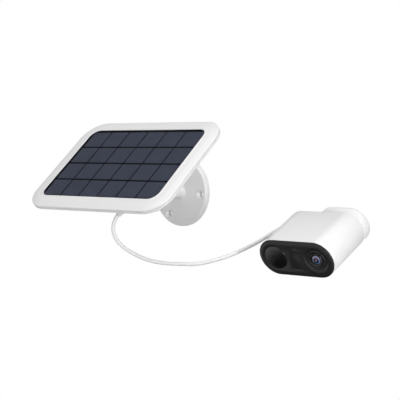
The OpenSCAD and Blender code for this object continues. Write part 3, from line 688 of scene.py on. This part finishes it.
def item_ring():
    """One item repeated around a circle, each turned to face outwards."""
    tree, given, out = new_tree("item_ring", [
        ("Item", "Object", None), ("Count", "Int", 24), ("Radius", "Float", 18.0),
        ("Material", "Material", None)])
    circle = node_in(tree, "GeometryNodeMeshCircle")
    link(tree, given.outputs["Count"], circle.inputs["Vertices"])
    link(tree, given.outputs["Radius"], circle.inputs["Radius"])
    where = node_in(tree, "GeometryNodeInputPosition")
    facing = node_in(tree, "FunctionNodeAlignEulerToVector", axis="X", pivot_axis="Z")
    link(tree, where.outputs[0], facing.inputs["Vector"])
    place_items(tree, given, out, circle.outputs["Mesh"], facing.outputs[0])
    return tree


def item_points():
    """One item on each vertex of the mesh that carries the modifier."""
    tree, given, out = new_tree("item_points", [
        ("Item", "Object", None), ("Material", "Material", None)])
    place_items(tree, given, out, given.outputs["Geometry"])
    return tree


def place_items(tree, given, out, points, rotation=None):
    """Sets the item on each point and ends the tree."""
    item = node_in(tree, "GeometryNodeObjectInfo")
    link(tree, given.outputs["Item"], item.inputs["Object"])
    copies = node_in(tree, "GeometryNodeInstanceOnPoints")
    link(tree, points, copies.inputs["Points"])
    link(tree, item.outputs["Geometry"], copies.inputs["Instance"])
    if rotation:
        link(tree, rotation, copies.inputs["Rotation"])
    end_tree(tree, given, out, copies.outputs[0])


ITEM_GRID = item_grid()
ITEM_RING = item_ring()
ITEM_POINTS = item_points()


def repeated(name, tree, item, place, node, points=(), replaced=None, **inputs):
    """Runs a tree on a small carrier mesh and turns what it makes into a shown piece."""
    carrier = bpy.data.meshes.new(name + "_carrier")
    carrier.from_pydata([Vector(p) for p in points], [], [])
    made = added(name + "_carrier", carrier)
    item_object = plain_object(name + "_item", item)
    modifier = made.modifiers.new("repeat", "NODES")
    modifier.node_group = tree
    values = {"Item": item_object, "Material": MATERIALS[SLOT_OF[node]]}
    values.update({key.replace("_", " "): value for key, value in inputs.items()})
    for socket in tree.interface.items_tree:
        if socket.in_out == "INPUT" and socket.name in values:
            modifier[socket.identifier] = values[socket.name]
    shape = evaluated_shape(made)
    bpy.data.objects.remove(item_object)
    return finish(name, shape, place, node, replaced=replaced)


# ---------- clamp ring ----------

def box(width, depth, low, high, radius, edge=0.2, steps=6):
    """A slab with round corners and softened edges."""
    outline = rounded([(radius - edge * 3, low, 0), (radius, low, edge), (radius, high, edge),
                       (radius - edge * 3, high, 0)], 3)
    return around(outline, width - 2 * radius, depth - 2 * radius, steps, closed=False)


def add_clamp_ring():
    """A turned ring with upright grips around it."""
    low, high = 1, 11
    inner, outer = 15.05, 17.9
    outline = rounded([
        (inner, low, 0.3), (outer - 0.2, low, 0.6), (outer, low + 1, 0.4), (outer, high - 1, 0.4),
        (outer - 0.2, high, 0.6), (inner, high, 0.3)])
    finish("clamp_ring_piece", spun(outline, steps=120), AT_PANEL, "clamp_ring")
    grip = box(2.6, 2.6, low + 0.5, high - 0.5, 1.0, 0.3)
    repeated("clamp_ring_grips", ITEM_RING, grip, AT_PANEL, "clamp_ring", replaced=[],
             Count=24, Radius=outer - 0.6)


add_clamp_ring()


# ---------- solar panel ----------

WINDOW_W, WINDOW_H, WINDOW_R, BORDER = 168.0, 110.4, 11.0, 15.4
SPINE_W = WINDOW_W - 2 * WINDOW_R
SPINE_H = WINDOW_H - 2 * WINDOW_R
EDGE_R = WINDOW_R + BORDER
GLASS_TOP = 44.5
GLASS_THICK = 0.8
GLASS_R = 14.0
CELL_COLUMNS, CELL_ROWS = 6, 4
CELL_MARGIN, CELL_GAP_X, CELL_GAP_Y = 2.2, 1.0, 1.7
CELL_TOP = GLASS_TOP - GLASS_THICK - 0.22
CELL_THICK = 0.17
CELL_W = (WINDOW_W - 2 * CELL_MARGIN - (CELL_COLUMNS - 1) * CELL_GAP_X) / CELL_COLUMNS
CELL_H = (WINDOW_H - 2 * CELL_MARGIN - (CELL_ROWS - 1) * CELL_GAP_Y) / CELL_ROWS


def add_panel_frame():
    """White border: a raised inner lip, a gently crowned slope and a rolled outer edge."""
    lip_top, crown_end, part = GLASS_TOP + 0.7, GLASS_TOP - 1.4, GLASS_TOP - 3.95
    outline = rounded([
        (WINDOW_R, GLASS_TOP - 0.1, 0), (WINDOW_R, lip_top, 0.3), (WINDOW_R + 1.5, lip_top, 0.4),
        (WINDOW_R + 2.2, lip_top - 0.4, 0.5), (WINDOW_R + 8, lip_top - 0.7, 8),
        (EDGE_R - 1, crown_end, 2), (EDGE_R, crown_end - 0.35, 0.5), (EDGE_R, part, 0.25),
        (EDGE_R - 0.5, part, 0.1), (EDGE_R - 0.5, part - 0.25, 0), (EDGE_R - 3, part - 0.25, 0),
        (EDGE_R - 3, part + 0.25, 0), (WINDOW_R + 3.3, crown_end, 0),
        (WINDOW_R + 3.3, GLASS_TOP - 0.1, 0)])
    finish("panel_frame_piece", around(outline, SPINE_W, SPINE_H, 32), AT_PANEL, "panel_frame")


def add_cells():
    """The cells. Their gaps are drawn wider than the CAD's by trim, so that they read from afar."""
    trim = 0.7
    cell = box(CELL_W - trim, CELL_H - trim, -CELL_THICK, 0.0, 0.5, 0.06, steps=3)
    place = AT_PANEL @ Matrix.Translation((0, 0, CELL_TOP))
    repeated("solar_cells_piece", ITEM_GRID, cell, place, "solar_cells",
             Columns=CELL_COLUMNS, Rows=CELL_ROWS,
             Pitch_X=CELL_W + CELL_GAP_X, Pitch_Y=CELL_H + CELL_GAP_Y)


def add_glass():
    """The cover glass, which reaches under the frame's lip all round."""
    glass = box(SPINE_W + 2 * GLASS_R, SPINE_H + 2 * GLASS_R, GLASS_TOP - GLASS_THICK, GLASS_TOP,
                GLASS_R, steps=24)
    finish("panel_glass_piece", glass, AT_PANEL, "panel_glass")


def add_panel_screws():
    """Six pan-head screws with a six-sided socket."""
    head_r, shank_r, tip = 2.1, 1.15, 7.1
    solid = spun(rounded([
        (0, 0, 0), (head_r, 0, 0.35), (head_r, 1.2, 0.1), (shank_r, 1.3, 0.1), (shank_r, tip - 0.7, 0.2),
        (0.6, tip, 0.1), (0, tip, 0)]), steps=32, closed=False)
    socket = spun([(0, 0.75), (0.9, 0.75), (0.9, -0.5), (0, -0.5)], steps=6, closed=False)
    screw = carved("screw", solid, socket)
    out_x, out_y, head_z = SPINE_W / 2 - 2, SPINE_H / 2 + 4, 31.0
    places = [(x * out_x, y * out_y, head_z) for x in (-1, 0, 1) for y in (-1, 1)]
    repeated("panel_screws_piece", ITEM_POINTS, screw, AT_PANEL, "panel_screws", points=places)


add_panel_frame()
add_cells()
add_panel_screws()
add_glass()
for node in ("cell_ribbons", "cell_board", "panel_gasket", "panel_back", "panel_insert", "charge_board",
             "charge_parts", "lead_gland"):
    skin(node)


# ---------- camera ----------

def add_motion_lens():
    """A glossy dome with a tight rim, and the flange that holds it from inside."""
    dome_r, flange_r = 12.5, 13.9
    outline = rounded([
        (0, FACE - 0.85, 0), (4, FACE - 0.76, 3), (8, FACE - 0.44, 3), (dome_r - 0.4, FACE, 0.6),
        (dome_r, FACE + 0.35, 0.3), (dome_r, 1.2, 0), (flange_r, 1.2, 0), (flange_r, 2.2, 0),
        (11.3, 2.2, 0), (11.1, 1.6, 0), (0, 1, 0)])
    dome = spun(outline, (MOTION_X, -LENS_Z), closed=False)
    finish("motion_lens_piece", dome, REARWARD, "motion_lens")


def add_camera_lens():
    """Stepped ring, barrel and domed front glass."""
    centre = (LENS_X, -LENS_Z)
    ring_r, flange_r, bore_r = 10.3, 11.5, 7.3
    ring = rounded([
        (ring_r, FACE + 1.1, 0.3), (ring_r, 2.65, 0), (flange_r, 2.65, 0), (flange_r, 3.4, 0),
        (bore_r, 3.4, 0), (bore_r, FACE + 1.5, 0.2), (bore_r + 0.6, FACE + 0.95, 0.3),
        (bore_r + 1.3, FACE + 0.65, 0.3), (ring_r - 0.5, FACE + 0.65, 0.4)])
    finish("lens_ring_piece", spun(ring, centre), REARWARD, "lens_ring")
    seat_r, barrel_r, tail_r = LENS_GLASS_R + 0.05, 7.1, 6
    barrel = rounded([
        (seat_r, FACE + 0.45, 0.1), (6.4, FACE + 0.2, 0.25), (barrel_r, FACE + 0.7, 0.3),
        (barrel_r, 6, 0), (tail_r, 6, 0), (tail_r, 8.6, 0), (3.4, 8.6, 0), (3.4, 2.4, 0),
        (seat_r, 2.4, 0)])
    finish("lens_barrel_piece", spun(barrel, centre), REARWARD, "lens_barrel")
    arc, step, rise = 60, 5, 1.3   # the front glass is domed over an arc of this many degrees
    glass = []
    for degrees in range(0, arc + step, step):
        across = math.sin(math.radians(degrees)) / math.sin(math.radians(arc))
        back = (1 - math.cos(math.radians(degrees))) / (1 - math.cos(math.radians(arc)))
        glass.append((LENS_GLASS_R * across, FACE + 0.1 + rise * back))
    glass += [(LENS_GLASS_R, 2.3), (3, 2.3), (2.4, 1.6), (0, 1.1)]
    finish("front_lens_piece", spun(glass, centre, closed=False), REARWARD, "front_lens")


add_motion_lens()
add_camera_lens()
for node in ("front_panel", "front_seal", "motion_sensor", "image_sensor", "light_window", "microphone",
             "status_bar", "camera_housing", "rear_cover", "rear_screws", "main_board", "board_parts",
             "antenna", "speaker", "battery_cells", "battery_tray", "usb_socket", "power_button",
             "reset_button", "card_door", "card_socket", "memory_card", "stand", "stand_pin",
             "stand_insert", "stand_pad", "lead_plug"):
    skin(node)
boot = skin("plug_boot")


# ---------- floor, light ----------

FLOOR_Z = -0.22
FLOOR_R = 9
DARK_SPOT = (0.16, -0.12, FLOOR_Z)   # where the floor is dark in what mirrors it
MIDDLE = Vector((0.11, -0.09, -0.02))
SKY_STRENGTH = 0.36


def for_viewer(tree, others, viewer, surface):
    """Shows one shader to the viewer and another to every other ray."""
    mix = node_in(tree, "ShaderNodeMixShader")
    link(tree, node_in(tree, "ShaderNodeLightPath").outputs["Is Camera Ray"], mix.inputs[0])
    link(tree, others, mix.inputs[1])
    link(tree, viewer, mix.inputs[2])
    link(tree, mix.outputs[0], surface)


def add_floor():
    """A round floor, plain white to the viewer. To the object it is dark close by and pale further out,
    which gives the camera's black face its reflections."""
    shape = bmesh.new()
    bmesh.ops.create_circle(shape, cap_ends=True, segments=96, radius=FLOOR_R)
    shape.transform(Matrix.Translation((0, 0, FLOOR_Z)))
    mesh = as_mesh("floor", shape)
    floor = added("floor", mesh)
    material, tree, shader = start_material("floor")
    shader.inputs["Roughness"].default_value = 0.9
    shader.inputs["Specular IOR Level"].default_value = 0
    distance = node_in(tree, "ShaderNodeVectorMath", operation="DISTANCE")
    link(tree, node_in(tree, "ShaderNodeTexCoord").outputs["Object"], distance.inputs[0])
    distance.inputs[1].default_value = DARK_SPOT
    link(tree, ramp(tree, distance.outputs["Value"],
                    [(0.1, (0.02, 0.02, 0.02)), (0.15, (0.25, 0.25, 0.25)),
                     (0.21, (0.8, 0.8, 0.8)), (1.0, (0.85, 0.85, 0.85))]),
         shader.inputs["Base Color"])
    glow = node_in(tree, "ShaderNodeEmission")
    for_viewer(tree, shader.outputs[0], glow.outputs[0], tree.nodes["Material Output"].inputs["Surface"])
    mesh.materials.append(material)


def add_light(name, right, toward, up, size, power):
    """A soft square light, placed from the object's middle as the viewer sees it."""
    turn = Matrix.Rotation(math.radians(VIEW_AZIMUTH), 4, "Z")
    lamp = bpy.data.lights.new(name, "AREA")
    lamp.size = size
    lamp.energy = power
    light = bpy.data.objects.new(name, lamp)
    light.location = MIDDLE + turn @ Vector((right, -toward, up))
    light.rotation_euler = (MIDDLE - light.location).to_track_quat("-Z", "Y").to_euler()
    bpy.context.scene.collection.objects.link(light)


def add_sky():
    """Even light from all around, behind a plain white background."""
    world = bpy.data.worlds.new("studio")
    world.use_nodes = True
    tree = world.node_tree
    soft = tree.nodes["Background"]
    bright = node_in(tree, "ShaderNodeBackground")
    for background, strength in ((soft, SKY_STRENGTH), (bright, 1.0)):
        background.inputs["Color"].default_value = (1, 1, 1, 1)
        background.inputs["Strength"].default_value = strength
    for_viewer(tree, soft.outputs[0], bright.outputs[0], tree.nodes["World Output"].inputs["Surface"])
    bpy.context.scene.world = world


add_floor()
add_light("key", right=0.45, toward=1.0, up=0.0, size=0.4, power=6.2)
add_light("fill", right=-0.9, toward=0.9, up=0.8, size=1.2, power=3.5)
add_light("top", right=0.0, toward=0.3, up=1.3, size=1.2, power=10)
add_sky()
bpy.context.scene.view_settings.view_transform = "Standard"
